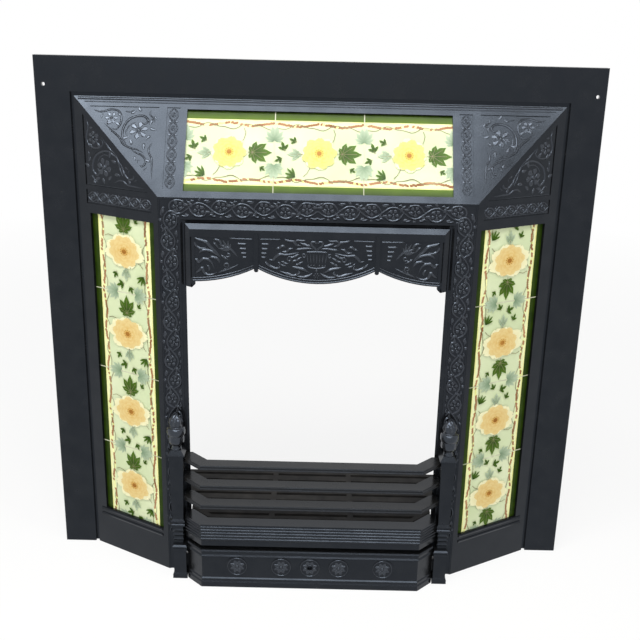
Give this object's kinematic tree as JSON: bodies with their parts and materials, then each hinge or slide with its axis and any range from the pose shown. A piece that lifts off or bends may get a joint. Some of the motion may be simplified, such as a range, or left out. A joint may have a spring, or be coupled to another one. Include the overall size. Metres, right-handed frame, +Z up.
{
  "type": "cast iron fireplace",
  "caption": "Tiled cast iron fireplace front: flat outer frame, splayed tiled panels, projecting arch with a scalloped hood, front bars between posts, reeded apron, ash cover and bottom grate.",
  "frame": {"origin": "centre of the base of the bounding box, on the floor", "axes": "+Z up, +X to the right as the room sees it, +Y towards the wall; the room is on the -Y side"},
  "size_m": [0.98, 0.214, 0.938],
  "materials": {
    "black_iron": "black leaded cast iron, satin",
    "bare_iron": "cast iron dulled by heat",
    "tile_glaze": null,
    "fixings": "plain steel"
  },
  "bodies": {
    "surround": {"outer_frame": "black_iron", "top_panel": "black_iron", "left_panel": "black_iron", "right_panel": "black_iron", "arch": "black_iron", "hood": "black_iron", "apron": "black_iron", "left_plinth": "black_iron", "right_plinth": "black_iron", "top_tile_1": "tile_glaze", "top_tile_2": "tile_glaze", "top_tile_3": "tile_glaze", "left_tile_1": "tile_glaze", "left_tile_2": "tile_glaze", "left_tile_3": "tile_glaze", "left_tile_4": "tile_glaze", "right_tile_1": "tile_glaze", "right_tile_2": "tile_glaze", "right_tile_3": "tile_glaze", "right_tile_4": "tile_glaze", "top_tile_strap": "fixings", "left_tile_strap": "fixings", "right_tile_strap": "fixings", "top_strap_bolt_1": "fixings", "top_strap_bolt_2": "fixings", "left_strap_bolt_1": "fixings", "left_strap_bolt_2": "fixings", "right_strap_bolt_1": "fixings", "right_strap_bolt_2": "fixings", "frame_bolt_1": "fixings", "frame_bolt_2": "fixings", "frame_bolt_3": "fixings", "frame_bolt_4": "fixings", "frame_bolt_5": "fixings", "frame_bolt_6": "fixings", "top_arch_bolt_1": "fixings", "top_arch_bolt_2": "fixings", "left_arch_bolt_1": "fixings", "left_arch_bolt_2": "fixings", "right_arch_bolt_1": "fixings", "right_arch_bolt_2": "fixings", "left_hood_bolt": "fixings", "right_hood_bolt": "fixings", "left_plinth_bolt": "fixings", "right_plinth_bolt": "fixings", "left_apron_bolt": "fixings", "right_apron_bolt": "fixings", "left_stud": "fixings", "right_stud": "fixings"},
    "front_bars": {"top_bar": "black_iron", "middle_bar": "black_iron", "bottom_bar": "black_iron", "left_post": "black_iron", "right_post": "black_iron", "left_finial": "black_iron", "right_finial": "black_iron"},
    "ash_cover": {"ash_cover": "black_iron"},
    "bottom_grate": {"bottom_grate": "bare_iron"}
  },
  "joints": [
    {"name": "front_bars_lift", "type": "slide", "parent": "surround", "child": "front_bars", "axis": [0, 0, 1], "range_m": [0, 0.025]},
    {"name": "ash_cover_pull", "type": "slide", "parent": "surround", "child": "ash_cover", "axis": [0, -1, 0], "range_m": [0, 0.1]},
    {"name": "bottom_grate_lift", "type": "slide", "parent": "surround", "child": "bottom_grate", "axis": [0, 0, 1], "range_m": [0, 0.09]}
  ]
}
